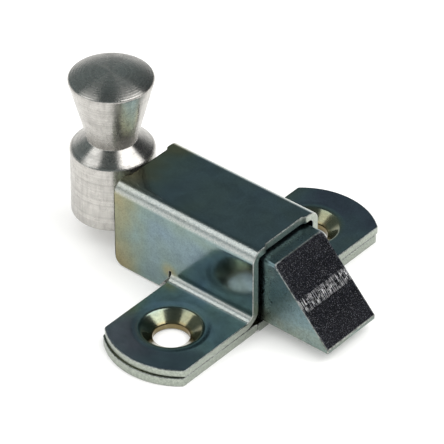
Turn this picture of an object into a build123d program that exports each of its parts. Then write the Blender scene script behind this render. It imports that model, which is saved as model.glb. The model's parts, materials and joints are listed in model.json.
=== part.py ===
from build123d import *

import os
from math import cos, radians, tan

# Door bolt with a sprung, bevelled bolt and a pull knob, in millimetres.
# X is the way the bolt shoots out, Y runs from screw hole to screw hole, and Z is up, away from the door.
# The origin lies midway between the two screw holes, on the face that is screwed to the door.

# Cover: one sheet folded into a channel, with an ear on each side of its front half
cover_width = 14.9  # over the outsides of the two walls
cover_height = 15.0  # from the door to the outside of the top wall
cover_front = 8.4  # from the screw holes forward to the front edges of the walls
cover_rear = 18.5  # from the screw holes back to the rear edge
cover_gauge = 1.25
top_bend_radius = 2.0  # outside of the bend between the top wall and a wall
ear_bend_radius = 1.25  # in the corner between a wall and its ear
top_setback = 0.4  # how far the top wall falls short of the walls at each end
wall_foot_gap = 0.2  # between the rear half of a wall and the door
wall_corner_radius = 1.5  # at the lower rear corner of a wall
relief_width = 0.6  # of the slot that frees an ear from the rear half of its wall
sheared_length = 2.0  # of the slanting cut below that slot

# Ears of the cover, and the plate's own pair under them
ear_rear = 7.4  # from the screw holes back to an ear's rear edge
ear_setback = 0.25  # how far an ear's front edge lies behind the walls' front edges
ear_reach = 22.35  # from the middle out to the corners of an ear
ear_bulge = 3.0  # of the curved end beyond those corners
ear_corner_radius = 0.6
plate_shift = 0.35  # the plate's ears lie this far off the cover's, towards -Y

# Countersunk screw holes: the cover is pressed down into seats in the plate
hole_spacing = 32.0
hole_radius = 2.75
countersink_radius = 4.7  # where the cone would meet the top of the ear
countersink_angle = 90.0
countersink_lip_radius = 0.35  # on the underside of the rolled edge round the cone
lip_margin = 0.2  # flat ring round that rolled edge
dimple_lift = 0.1  # between the pressed-down end and the door
dimple_seat_gap = 0.05  # radial, between the pressed-down cone and its seat

# Base plate: ears, a tongue between the walls, and a tab turned up at the rear
plate_gauge = 1.5
tongue_gap = 0.1  # to each wall
tab_bend_radius = 0.8  # inside of the bend
tab_top_gap = 0.2  # to the underside of the top wall
groove_radius = 0.4  # of the short groove under the front edge, in line with the inside of each wall
groove_length = 1.2

# Latch bolt
bolt_throw = 12.5  # how far the tip stands out of the cover
bolt_side_gap = 0.7
bolt_top_gap = 0.5
bolt_foot_gap = 0.4
bolt_edge_radius = 0.5  # along the two upper long edges
bevel_length = 10.2
tip_land = 0.7  # height of the blunt tip
travel = 12.0
drawn_gap = 0.5  # between the bolt's rear end and the tab with the bolt drawn back

# Stem and spring
stem_diameter = 4.0
stem_chamfer = 0.4
stem_guide_gap = 0.08  # radial, in the tab's hole
stem_thread_gap = 0.05  # radial, in the bolt and in the knob
stem_bolt_depth = 7.0  # screwed into the bolt
stem_knob_depth = 8.5  # screwed into the knob
stem_end_gap = 0.5  # left at the bottom of each tapped hole
wire_diameter = 0.7
spring_diameter = 7.2  # outside
spring_turns = 10
spring_bore_gap = 0.5  # radial, between the spring and the bolt's bore
spring_bore_depth = 10.0
spring_end_gap = 0.1

# Knob, turned from bar
knob_diameter = 13.0
knob_stop_gap = 0.3  # between the knob and the cover's rear edge with the bolt shot
knob_stem_rise = 4.175  # from the knob's foot up to the middle of the stem
knob_body_length = 11.3
knob_shoulder_length = 1.7
knob_neck_radius = 3.8
knob_grip_length = 10.75  # of the flaring cone
knob_rim_chamfer = 0.3
knob_dome_height = 0.75

# Places that follow from the sizes above
wall_outside = cover_width / 2
wall_inside = wall_outside - cover_gauge
top_inside = cover_height - cover_gauge
ear_top = plate_gauge + cover_gauge
ear_front = cover_front - ear_setback
relief_rear = ear_rear + relief_width
relief_top = ear_top + ear_bend_radius
hole_side = hole_spacing / 2
tongue_width = 2 * (wall_inside - tongue_gap)
half_angle = radians(countersink_angle / 2)
lip_slope = tan((radians(90) - half_angle) / 2)  # a rounded lip reaches its radius times this from its corner
lip_top_radius = countersink_lip_radius + cover_gauge
lip_outside = countersink_radius + lip_top_radius * lip_slope + lip_margin
cone_outside = countersink_radius + cover_gauge * lip_slope  # radius of the cone's underside at the plate's top
tab_front = plate_gauge - cover_rear
bolt_rear = tab_front + drawn_gap + travel
bolt_tip = cover_front + bolt_throw
bolt_width = 2 * (wall_inside - bolt_side_gap)
bolt_foot = plate_gauge + bolt_foot_gap
bolt_top = top_inside - bolt_top_gap
stem_height = (bolt_foot + bolt_top) / 2
stem_radius = stem_diameter / 2
spring_bore_end = bolt_rear + spring_bore_depth
knob_radius = knob_diameter / 2
knob_foot = stem_height - knob_stem_rise
knob_front = -cover_rear - knob_stop_gap
knob_centre = knob_front - knob_radius


def across(outline, width):
    """Extrudes an outline drawn in X and Z to both sides of the middle plane."""
    return extrude(Plane.XZ * outline, amount=width / 2, both=True)


def folded(bend_line, radius, gauge):
    """The section of a folded sheet: its outer line, rounded at the bends, and the same line a gauge inside."""
    outside = FilletPolyline(*bend_line, radius=radius)
    return make_face(outside.offset_2d(gauge, side=Side.RIGHT, closed=True))


def ear_outline():
    """Both ears in plan: straight sides, curved ends and four rounded corners."""
    sides = Line((ear_front, -ear_reach), (ear_front, ear_reach))
    sides += Line((-ear_rear, ear_reach), (-ear_rear, -ear_reach))
    near_end = SagittaArc((-ear_rear, -ear_reach), (ear_front, -ear_reach), -ear_bulge)
    far_end = SagittaArc((ear_front, ear_reach), (-ear_rear, ear_reach), -ear_bulge)
    outline = make_face(sides + near_end + far_end)
    return fillet(outline.vertices(), ear_corner_radius)


def middle_outline(half_width):
    """The strip between the ears in plan, which reaches forward to the walls' front edges."""
    strip = Rectangle(ear_rear + cover_front, 2 * half_width)
    return Pos((cover_front - ear_rear) / 2, 0) * strip


def front_hat():
    """The cover's front half: a hat section, with its brims cut to the outline of the ears."""
    tip = ear_reach + ear_bulge + ear_corner_radius
    bend_line = [
        (-tip, ear_top),
        (-wall_outside, ear_top),
        (-wall_outside, cover_height),
        (wall_outside, cover_height),
        (wall_outside, ear_top),
        (tip, ear_top),
    ]
    radii = [ear_bend_radius, top_bend_radius, top_bend_radius, ear_bend_radius]
    section = folded(bend_line, radii, cover_gauge)
    hat = Pos(-ear_rear, 0, 0) * extrude(Plane.YZ * section, amount=ear_rear + cover_front)
    plan = ear_outline() + middle_outline(wall_outside)
    return hat & extrude(plan, amount=cover_height)


def rear_channel():
    """The cover's rear half: a channel whose walls reach down to the door, cut away beside the ears."""
    bend_line = [
        (-wall_outside, wall_foot_gap),
        (-wall_outside, cover_height),
        (wall_outside, cover_height),
        (wall_outside, wall_foot_gap),
    ]
    section = folded(bend_line, top_bend_radius, cover_gauge)
    channel = Pos(-cover_rear, 0, 0) * extrude(Plane.YZ * section, amount=cover_rear - ear_rear)
    side_view = FilletPolyline(
        (-cover_rear, wall_foot_gap),
        (-cover_rear, cover_height),
        (-ear_rear, cover_height),
        (-ear_rear, relief_top),
        (-relief_rear, relief_top),
        (-relief_rear, ear_top),
        (-relief_rear - sheared_length, wall_foot_gap),
        radius=[wall_corner_radius, 0, 0, 0, 0, 0, 0],
        close=True,
    )
    return channel & across(make_face(side_view), cover_width)


def dimple():
    """A screw hole pressed down out of the ear: the rolled lip, the cone and the straight mouth below it."""
    cone_depth = (countersink_radius - hole_radius) / tan(half_angle)
    outer_end = cone_outside - (plate_gauge - dimple_lift) * tan(half_angle)
    outline = FilletPolyline(
        (lip_outside, ear_top),
        (countersink_radius, ear_top),
        (hole_radius, ear_top - cone_depth),
        (hole_radius, dimple_lift),
        (outer_end, dimple_lift),
        (cone_outside, plate_gauge),
        (lip_outside, plate_gauge),
        radius=[0, lip_top_radius, 0, 0, 0, countersink_lip_radius, 0],
        close=True,
    )
    return revolve(Plane.XZ * make_face(outline), Axis.Z)


def cover():
    """The folded cover with its two pressed-down screw holes."""
    body = front_hat() + rear_channel()
    flat_top = Box(2 * top_setback, cover_width - 2 * top_bend_radius, 2 * cover_gauge)
    for end in (-cover_rear, cover_front):
        body -= Pos(end, 0, cover_height - cover_gauge / 2) * flat_top
    for side in (-1, 1):
        place = Pos(0, side * hole_side, 0)
        body -= place * Pos(0, 0, plate_gauge + cover_gauge / 2) * Cylinder(lip_outside, 2 * cover_gauge)
        body += place * dimple()
    return body


def dimple_seat():
    """The conical hole in the plate that takes a pressed-down screw hole, its upper edge broken."""
    top_radius = cone_outside + dimple_seat_gap
    foot_radius = top_radius - plate_gauge * tan(half_angle)
    edge_break = countersink_lip_radius * lip_slope + dimple_seat_gap
    outline = Polyline(
        (0, 0),
        (foot_radius, 0),
        (top_radius - edge_break * tan(half_angle), plate_gauge - edge_break),
        (top_radius + edge_break, plate_gauge),
        (0, plate_gauge),
        close=True,
    )
    return revolve(Plane.XZ * make_face(outline), Axis.Z)


def base_plate():
    """The plate under the cover, with its guide tab turned up to close the rear of the channel."""
    ears = Pos(0, -plate_shift) * ear_outline()
    body = extrude(ears + middle_outline(wall_inside), amount=plate_gauge)
    bend_line = [(0, 0), (-cover_rear, 0), (-cover_rear, top_inside - tab_top_gap)]
    tongue = across(folded(bend_line, tab_bend_radius + plate_gauge, plate_gauge), tongue_width)
    tab_corners = tongue.edges().filter_by(Axis.X).group_by(Axis.Z)[-1]
    body += fillet(tab_corners, top_bend_radius - cover_gauge + tab_top_gap)
    guide_hole = Cylinder(stem_radius + stem_guide_gap, 3 * plate_gauge)
    body -= Pos(tab_front, 0, stem_height) * Rot(0, 90, 0) * guide_hole
    groove = Rot(0, 90, 0) * Cylinder(groove_radius, 2 * groove_length)
    for side in (-1, 1):
        body -= Pos(0, side * hole_side, 0) * dimple_seat()
        body -= Pos(cover_front, side * wall_inside, 0) * groove
    return body


def latch_bolt():
    """The bolt: a bar bevelled from above, bored from behind for its spring and tapped for the stem."""
    side_view = Polyline(
        (bolt_rear, bolt_foot),
        (bolt_tip, bolt_foot),
        (bolt_tip, bolt_foot + tip_land),
        (bolt_tip - bevel_length, bolt_top),
        (bolt_rear, bolt_top),
        close=True,
    )
    body = across(make_face(side_view), bolt_width)
    upper_edges = body.edges().filter_by(Axis.X).group_by(Axis.Z)[-1]
    body = fillet(upper_edges, bolt_edge_radius)
    spring_bore = Cylinder(spring_diameter / 2 + spring_bore_gap, 2 * spring_bore_depth)
    body -= Pos(bolt_rear, 0, stem_height) * Rot(0, 90, 0) * spring_bore
    thread_length = stem_bolt_depth + stem_end_gap
    tapped_hole = Cylinder(stem_radius + stem_thread_gap, 2 * thread_length)
    body -= Pos(spring_bore_end, 0, stem_height) * Rot(0, 90, 0) * tapped_hole
    return body


def bolt_stem():
    """The rod from the bolt, through the spring and the tab, into the knob."""
    front = spring_bore_end + stem_bolt_depth
    rear = knob_front - stem_knob_depth
    rod = Cylinder(stem_radius, front - rear)
    rod = chamfer(rod.edges().filter_by(GeomType.CIRCLE), stem_chamfer)
    return Pos((front + rear) / 2, 0, stem_height) * Rot(0, 90, 0) * rod


def spring():
    """The compression spring between the tab and the bottom of the bolt's bore."""
    room = spring_bore_end - tab_front - 2 * spring_end_gap
    height = room - wire_diameter
    coil_radius = (spring_diameter - wire_diameter) / 2
    coil = Helix(pitch=height / spring_turns, height=height, radius=coil_radius)
    wire = sweep(Plane(coil @ 0, z_dir=coil % 0) * Circle(wire_diameter / 2), path=coil)
    start = tab_front + spring_end_gap + wire_diameter / 2
    return Pos(start, 0, stem_height) * Rot(0, 90, 0) * wire


def knob():
    """The turned knob: a cylinder, a sloping shoulder, a flaring grip and a domed end."""
    shoulder = knob_foot + knob_body_length
    neck = shoulder + knob_shoulder_length
    rim = neck + knob_grip_length
    face = rim + knob_rim_chamfer
    apex = face + knob_dome_height
    face_radius = knob_radius - knob_rim_chamfer
    turned = Polyline(
        (0, apex),
        (0, knob_foot),
        (knob_radius, knob_foot),
        (knob_radius, shoulder),
        (knob_neck_radius, neck),
        (knob_radius, rim),
        (face_radius, face),
    )
    dome_middle = dome_point(face_radius, face, apex)
    dome = ThreePointArc((face_radius, face), dome_middle, (0, apex))
    body = revolve(Plane.XZ * make_face(turned + dome), Axis.Z)
    body = Pos(knob_centre, 0, 0) * body
    thread_length = stem_knob_depth + stem_end_gap
    tapped_hole = Cylinder(stem_radius + stem_thread_gap, 2 * thread_length)
    return body - Pos(knob_front, 0, stem_height) * Rot(0, 90, 0) * tapped_hole


def dome_point(radius, foot, apex):
    """A point halfway out on the round cap that rises from a ring of that radius to the apex."""
    rise = apex - foot
    ball_radius = (radius**2 + rise**2) / (2 * rise)
    out = radius / 2
    return (out, apex - ball_radius + (ball_radius**2 - out**2) ** 0.5)


pieces = {
    "cover": cover(),
    "base_plate": base_plate(),
    "latch_bolt": latch_bolt(),
    "bolt_stem": bolt_stem(),
    "spring": spring(),
    "knob": knob(),
}
os.makedirs("parts", exist_ok=True)
for name, piece in pieces.items():
    export_step(piece, f"parts/{name}.step")
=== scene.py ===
"""The looks of a sprung door bolt: plated sheet, bevelled bolt, turned knob, and the studio round them.

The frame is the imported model's: X is the way the bolt shoots out, Y runs from screw hole to screw hole and Z
is up, away from the door. Sizes are in millimetres and become metres where points go into a mesh.
"""

import json
import logging
import math
from collections.abc import Callable, Sequence
from dataclasses import dataclass
from enum import Enum
from functools import cache

import bmesh
import bpy
import numpy as np
from mathutils import Matrix, Vector

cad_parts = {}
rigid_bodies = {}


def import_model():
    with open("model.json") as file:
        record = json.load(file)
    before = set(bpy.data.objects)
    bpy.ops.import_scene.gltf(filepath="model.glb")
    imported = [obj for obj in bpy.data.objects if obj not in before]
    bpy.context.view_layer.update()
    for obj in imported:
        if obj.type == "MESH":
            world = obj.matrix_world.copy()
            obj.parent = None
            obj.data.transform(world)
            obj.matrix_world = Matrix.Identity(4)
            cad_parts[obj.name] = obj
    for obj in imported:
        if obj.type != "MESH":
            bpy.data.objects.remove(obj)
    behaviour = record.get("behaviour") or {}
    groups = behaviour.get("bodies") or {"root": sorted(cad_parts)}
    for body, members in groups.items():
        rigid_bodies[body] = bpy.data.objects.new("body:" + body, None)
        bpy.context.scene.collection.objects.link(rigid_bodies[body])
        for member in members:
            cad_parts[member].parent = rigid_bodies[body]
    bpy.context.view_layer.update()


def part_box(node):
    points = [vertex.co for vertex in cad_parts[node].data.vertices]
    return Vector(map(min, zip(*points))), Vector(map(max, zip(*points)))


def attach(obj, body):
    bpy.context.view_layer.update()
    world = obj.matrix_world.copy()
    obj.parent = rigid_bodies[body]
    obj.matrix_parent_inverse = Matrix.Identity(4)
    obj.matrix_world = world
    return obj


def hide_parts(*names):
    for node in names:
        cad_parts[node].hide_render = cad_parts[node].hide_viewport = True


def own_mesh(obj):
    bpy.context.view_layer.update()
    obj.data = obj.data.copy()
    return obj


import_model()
MM = 0.001
FILM_MAP = "film"  # thickness of the passivation film, from thin and blue to thick and brown
STRAIN_MAP = "strain"  # how far folding has stretched the sheet and roughened its plating
log = logging.getLogger("door_bolt")


class Side(Enum):
    """One border of a grid of points."""

    FIRST_ROW = "first row"
    LAST_ROW = "last row"
    FIRST_COLUMN = "first column"
    LAST_COLUMN = "last column"


class Zone(Enum):
    """The part of a piece's surface that a face belongs to, as its place in the piece's list of materials."""

    FACE = 0
    CUT = 1
    WORN_AND_HIGHLIGHT = 2
    RUBBED = 3


class Blend(Enum):
    """How one layer of a finish changes the layers under it."""

    MULTIPLY = "MULTIPLY"
    LIGHTEN = "LIGHTEN"


def node_box(node: str) -> tuple[np.ndarray, np.ndarray]:
    """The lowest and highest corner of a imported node, in millimetres.

    Args:
        node: name of the node.

    Returns:
        Both corners.
    """
    low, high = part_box(node)
    return np.array(low) / MM, np.array(high) / MM


STEM_HEIGHT = float(sum(node_box("latch_bolt"))[2] / 2)  # the stem runs through the bolt's middle


def smooth_step(value: np.ndarray, start: float, end: float) -> np.ndarray:
    """A ramp from 0 at start to 1 at end, level at both: 3t^2 - 2t^3.

    Args:
        value: where to read the ramp.
        start: value at which it leaves 0.
        end: value at which it reaches 1.

    Returns:
        The ramp, as large as value.
    """
    t = np.clip((value - start) / (end - start), 0.0, 1.0)
    return t * t * (3.0 - 2.0 * t)


def spans(stops: Sequence[float], counts: Sequence[int]) -> np.ndarray:
    """Numbers that pass through some stops, with a chosen number of equal steps between each two.

    Args:
        stops: the stops, in order.
        counts: the steps between each stop and the next.

    Returns:
        All the numbers, each stop once.
    """
    runs = [np.linspace(a, b, n, endpoint=False) for a, b, n in zip(stops, stops[1:], counts)]
    return np.concatenate([*runs, [stops[-1]]])


def stack(x: np.ndarray, y: np.ndarray, z: np.ndarray) -> np.ndarray:
    """Points from three arrays of coordinates, spread over one shape.

    Args:
        x: the X values.
        y: the Y values.
        z: the Z values.

    Returns:
        An array with one more axis, of length 3.
    """
    return np.stack(np.broadcast_arrays(x, y, z), axis=-1).astype(float)


def rings(profile: np.ndarray, turn: np.ndarray) -> tuple[np.ndarray, np.ndarray, np.ndarray]:
    """Sweeps a profile of (radius, height) round an axis: radius times cosine and sine of each turn.

    Args:
        profile: one row of radius and height for each ring.
        turn: angles round the axis, in radians.

    Returns:
        Both coordinates across the axis and the one along it, each with a row for each ring.
    """
    radius, height = profile[:, :1], profile[:, 1:]
    return radius * np.cos(turn)[None], radius * np.sin(turn)[None], height * np.ones_like(turn)[None]


def arc(centre: tuple[float, float], radius: float, start: float, end: float, steps: int) -> np.ndarray:
    """Points on a circle: the centre plus the radius times cosine and sine.

    Args:
        centre: the circle's centre.
        radius: its radius.
        start: first angle, in degrees.
        end: last angle, in degrees.
        steps: steps between both.

    Returns:
        A row of two coordinates for each point.
    """
    angle = np.radians(np.linspace(start, end, steps + 1))
    return np.stack([centre[0] + radius * np.cos(angle), centre[1] + radius * np.sin(angle)], axis=-1)


def line(start: tuple[float, float], end: tuple[float, float], steps: int) -> np.ndarray:
    """Points on a straight line, without its first one.

    Args:
        start: where the line starts.
        end: where it ends.
        steps: steps between both.

    Returns:
        A row of two coordinates for each point after the first.
    """
    share = np.linspace(0.0, 1.0, steps + 1)[1:, None]
    return np.array(start) * (1.0 - share) + np.array(end) * share


def near(points: np.ndarray, centre: Sequence[float], reach: Sequence[float]) -> np.ndarray:
    """How near points are to a centre: e to the minus square of the distance, in reaches.

    Args:
        points: rows of coordinates, in millimetres.
        centre: the centre, with None in an axis that doesn't count.
        reach: the distance in each axis at which the value has fallen to about a third.

    Returns:
        A value for each point, 1 at the centre and 0 far away.
    """
    total = sum(((points[:, i] - c) / reach[i]) ** 2 for i, c in enumerate(centre) if c is not None)
    return np.exp(-total)


def lay_map(piece: bpy.types.Object, name: str, value: Callable[[np.ndarray], np.ndarray]) -> None:
    """Stores a value at each point of a piece, for its materials to read.

    Args:
        piece: the piece.
        name: name of the stored map.
        value: gives a value from 0 to 1 for each row of coordinates in millimetres.
    """
    mesh = piece.data
    points = np.empty(len(mesh.vertices) * 3)
    mesh.vertices.foreach_get("co", points)
    stored = mesh.attributes.new(name, "FLOAT", "POINT")
    stored.data.foreach_set("value", value(points.reshape(-1, 3) / MM).astype(np.float32))


class GridMesh:
    """Grids of points that join along their borders into one closed mesh."""

    def __init__(self) -> None:
        """Starts with no grid."""
        self.points: list[np.ndarray] = []
        self.quads: list[np.ndarray] = []
        self.zones: list[np.ndarray] = []
        self.count = 0

    def add(self, grid: np.ndarray, zone: Zone = Zone.FACE) -> None:
        """Adds a grid of points with a quad between each four neighbours.

        Args:
            grid: the points, in millimetres, as rows of columns.
            zone: the zone of its faces.
        """
        rows, columns = grid.shape[:2]
        index = self.count + np.arange(rows * columns).reshape(rows, columns)
        quads = np.stack([index[:-1, :-1], index[1:, :-1], index[1:, 1:], index[:-1, 1:]], axis=-1)
        self.points.append(grid.reshape(-1, 3))
        self.quads.append(quads.reshape(-1, 4))
        self.zones.append(np.full((rows - 1) * (columns - 1), zone.value))
        self.count += rows * columns

    def bridge(self, one: np.ndarray, other: np.ndarray, zone: Zone = Zone.FACE, steps: int = 1) -> None:
        """Adds a straight strip, in one zone and some steps wide, between two lines with as many points."""
        share = np.linspace(0.0, 1.0, steps + 1)[:, None, None]
        self.add(one[None] * (1.0 - share) + other[None] * share, zone)

    def sheet(self, place: Callable[[float], np.ndarray], gauge: float, cut: Sequence[Side] = ()) -> None:
        """Adds both faces of a stretch of sheet, and a cut edge along each of its free borders.

        Args:
            place: gives the stretch's grid of points at a depth below its outer face.
            gauge: thickness of the sheet.
            cut: the borders that are free.
        """
        outer, inner = place(0.0), place(gauge)
        self.add(outer)
        self.add(inner)
        for side in cut:
            self.bridge(border(outer, side), border(inner, side), Zone.CUT)

    def build(self, name: str, *finishes: bpy.types.Material) -> bpy.types.Object:
        """Joins the grids into one mesh in metres, with its faces pointing outwards.

        Args:
            name: name of the new object.
            finishes: the materials of its zones, in order.

        Returns:
            The new object, at the origin.
        """
        points = np.concatenate(self.points) * MM
        quads = np.concatenate(self.quads)
        mesh = bpy.data.meshes.new(name)
        mesh.vertices.add(len(points))
        mesh.vertices.foreach_set("co", points.astype(np.float32).ravel())
        mesh.loops.add(quads.size)
        mesh.loops.foreach_set("vertex_index", quads.astype(np.int32).ravel())
        mesh.polygons.add(len(quads))
        mesh.polygons.foreach_set("loop_start", np.arange(0, quads.size, 4, dtype=np.int32))
        mesh.polygons.foreach_set("material_index", np.concatenate(self.zones).astype(np.int32))
        mesh.update(calc_edges=True)
        mesh.validate()
        work = bmesh.new()
        work.from_mesh(mesh)
        bmesh.ops.remove_doubles(work, verts=work.verts, dist=1e-6)
        bmesh.ops.dissolve_degenerate(work, edges=work.edges, dist=1e-7)
        bmesh.ops.recalc_face_normals(work, faces=work.faces)
        open_edges = sum(not edge.is_manifold for edge in work.edges)
        work.to_mesh(mesh)
        work.free()
        mesh.polygons.foreach_set("use_smooth", np.ones(len(mesh.polygons), dtype=bool))
        for finish in finishes:
            mesh.materials.append(finish)
        piece = bpy.data.objects.new(name, mesh)
        bpy.context.scene.collection.objects.link(piece)
        log.info("%s: %d faces, %d open edges", name, len(mesh.polygons), open_edges)
        return piece


def border(grid: np.ndarray, side: Side) -> np.ndarray:
    """The line of points along one border of a grid.

    Args:
        grid: the grid.
        side: which border.

    Returns:
        Its points.
    """
    lines = {
        Side.FIRST_ROW: grid[0],
        Side.LAST_ROW: grid[-1],
        Side.FIRST_COLUMN: grid[:, 0],
        Side.LAST_COLUMN: grid[:, -1],
    }
    return lines[side]


def soften_edges(
    piece: bpy.types.Object, width: float, zone: Zone | None = None, limit: float = 28.0
) -> None:
    """Breaks a piece's sharp edges with a live bevel, as tumbling in the plating drum does.

    Args:
        piece: the piece.
        width: width of the break, in millimetres.
        zone: the zone that the break belongs to, or None for the zones beside it.
        limit: least angle between two faces at which their edge is sharp, in degrees.
    """
    bevel = piece.modifiers.new("edge_break", "BEVEL")
    bevel.width = width * MM
    bevel.segments = 2
    bevel.material = -1 if zone is None else zone.value
    bevel.limit_method = "ANGLE"
    bevel.angle_limit = math.radians(limit)
    bevel.use_clamp_overlap = False
    bevel.harden_normals = True
    bevel.miter_outer = "MITER_ARC"


def linear(colour: str) -> tuple[float, float, float, float]:
    """Turns an sRGB hex colour into linear red, green, blue and an alpha of 1.

    Args:
        colour: a hash sign and six hex digits.

    Returns:
        The four linear values.
    """
    parts = np.array([int(colour[i : i + 2], 16) for i in (1, 3, 5)]) / 255.0
    curve = np.where(parts <= 0.04045, parts / 12.92, ((parts + 0.055) / 1.055) ** 2.4)
    return (*curve.tolist(), 1.0)


def per_metre(size: float) -> float:
    """A texture's scale for features of a size in millimetres."""
    return 1.0 / (size * MM)


def grey(value: float) -> tuple[float, float, float, float]:
    """A grey of one linear value, with an alpha of 1."""
    return value, value, value, 1.0


WHITE = grey(1.0)
AMOUNT, UNDER, OVER, MIXED = 0, 6, 7, 2  # a mix node's own places for an amount, two colours and the result
Source = bpy.types.Node | bpy.types.NodeSocket  # what feeds an input: a node's first output, or a chosen one
Stops = Sequence[tuple[float, str | float]]  # a ramp's places from 0 to 1, with sRGB hex colours or values


class Shading:
    """A node tree, with one way to add a node, and patterns and layers made of such nodes."""

    def __init__(self, owner: bpy.types.Material | bpy.types.World) -> None:
        """Starts with an empty tree.

        Args:
            owner: the material or the world that has the tree.
        """
        owner.use_nodes = True
        self.tree = owner.node_tree
        self.tree.nodes.clear()

    def feed(self, node: bpy.types.Node, key: str | int, value: object) -> None:
        """Gives a node's input a value, or links it to what feeds it.

        Args:
            node: the node.
            key: the input's name or place.
            value: the value, or the node or socket that feeds it.
        """
        if isinstance(value, bpy.types.Node):
            value = value.outputs[0]
        if isinstance(value, bpy.types.NodeSocket):
            self.tree.links.new(value, node.inputs[key])
        else:
            node.inputs[key].default_value = value

    def node(
        self, kind: str, inputs: dict | None = None, stops: Stops = (), **settings: object
    ) -> bpy.types.Node:
        """Adds a node with its settings, input values and links.

        Args:
            kind: the node's type, without the words ShaderNode.
            inputs: for each input, by name or place, its value or what feeds it.
            stops: the stops, where the node is a ramp.
            settings: the node's own properties.

        Returns:
            The new node.
        """
        node = self.tree.nodes.new(f"ShaderNode{kind}")
        for key, value in settings.items():
            setattr(node, key, value)
        for key, value in (inputs or {}).items():
            self.feed(node, key, value)
        for extra in range(2, len(stops)):
            node.color_ramp.elements.new(extra / len(stops))
        for i, (place, colour) in enumerate(stops):
            node.color_ramp.elements[i].position = place
            node.color_ramp.elements[i].color = linear(colour) if isinstance(colour, str) else grey(colour)
        return node

    def pattern(
        self, place: Source, size: float, stops: Stops = (), detail: float = 3.0, warp: float = 0.0
    ) -> bpy.types.Node:
        """Makes an uneven pattern of a size in millimetres, as plain values or in a ramp's colours.

        Args:
            place: what gives the coordinates.
            size: size of the pattern's features.
            stops: the ramp's stops, or none for the plain values from 0 to 1.
            detail: octaves of finer pattern.
            warp: how far the pattern is folded into itself.

        Returns:
            The node whose first output is the pattern.
        """
        scale = {"Scale": per_metre(size), "Detail": detail, "Roughness": 0.6, "Distortion": warp}
        noise = self.node("TexNoise", {"Vector": place, **scale})
        return self.node("ValToRGB", {"Fac": noise}, stops) if stops else noise

    def combined(self, how: Blend, first: Source, *others: Source | tuple) -> Source:
        """Lays any number of patterns and colours over one another.

        Args:
            how: how each changes those under it.
            first: the lowest of them.
            others: the ones above it, in order.

        Returns:
            The socket with the colour of all.
        """
        for other in others:
            layers = {AMOUNT: 1.0, UNDER: first, OVER: other}
            first = self.node("Mix", layers, data_type="RGBA", blend_type=how.value).outputs[MIXED]
        return first


class Coat(Shading):
    """A material with one principled shader."""

    def __init__(self, name: str, inputs: dict) -> None:
        """Starts the material, with its shader and the object's own coordinates.

        Args:
            name: the material's name.
            inputs: the shader's constant values, by input name.
        """
        self.material = bpy.data.materials.new(name)
        super().__init__(self.material)
        self.shader = self.node("BsdfPrincipled", inputs)
        self.node("OutputMaterial", {"Surface": self.shader})
        self.place = self.node("TexCoord").outputs["Object"]

    def shade(self, name: str, value: Source) -> None:
        """Feeds one of the shader's inputs, by its name, in place of what fed it before."""
        self.feed(self.shader, name, value)

    def shade_over(self, name: str, value: tuple, amount: Source) -> None:
        """Lays a plain colour or grey over what feeds one of the shader's inputs.

        Args:
            name: the input's name.
            value: the colour or grey.
            amount: how much of it shows.
        """
        under = self.shader.inputs[name].links[0].from_socket
        layers = {AMOUNT: amount, UNDER: under, OVER: value}
        self.shade(name, self.node("Mix", layers, data_type="RGBA").outputs[MIXED])


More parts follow.
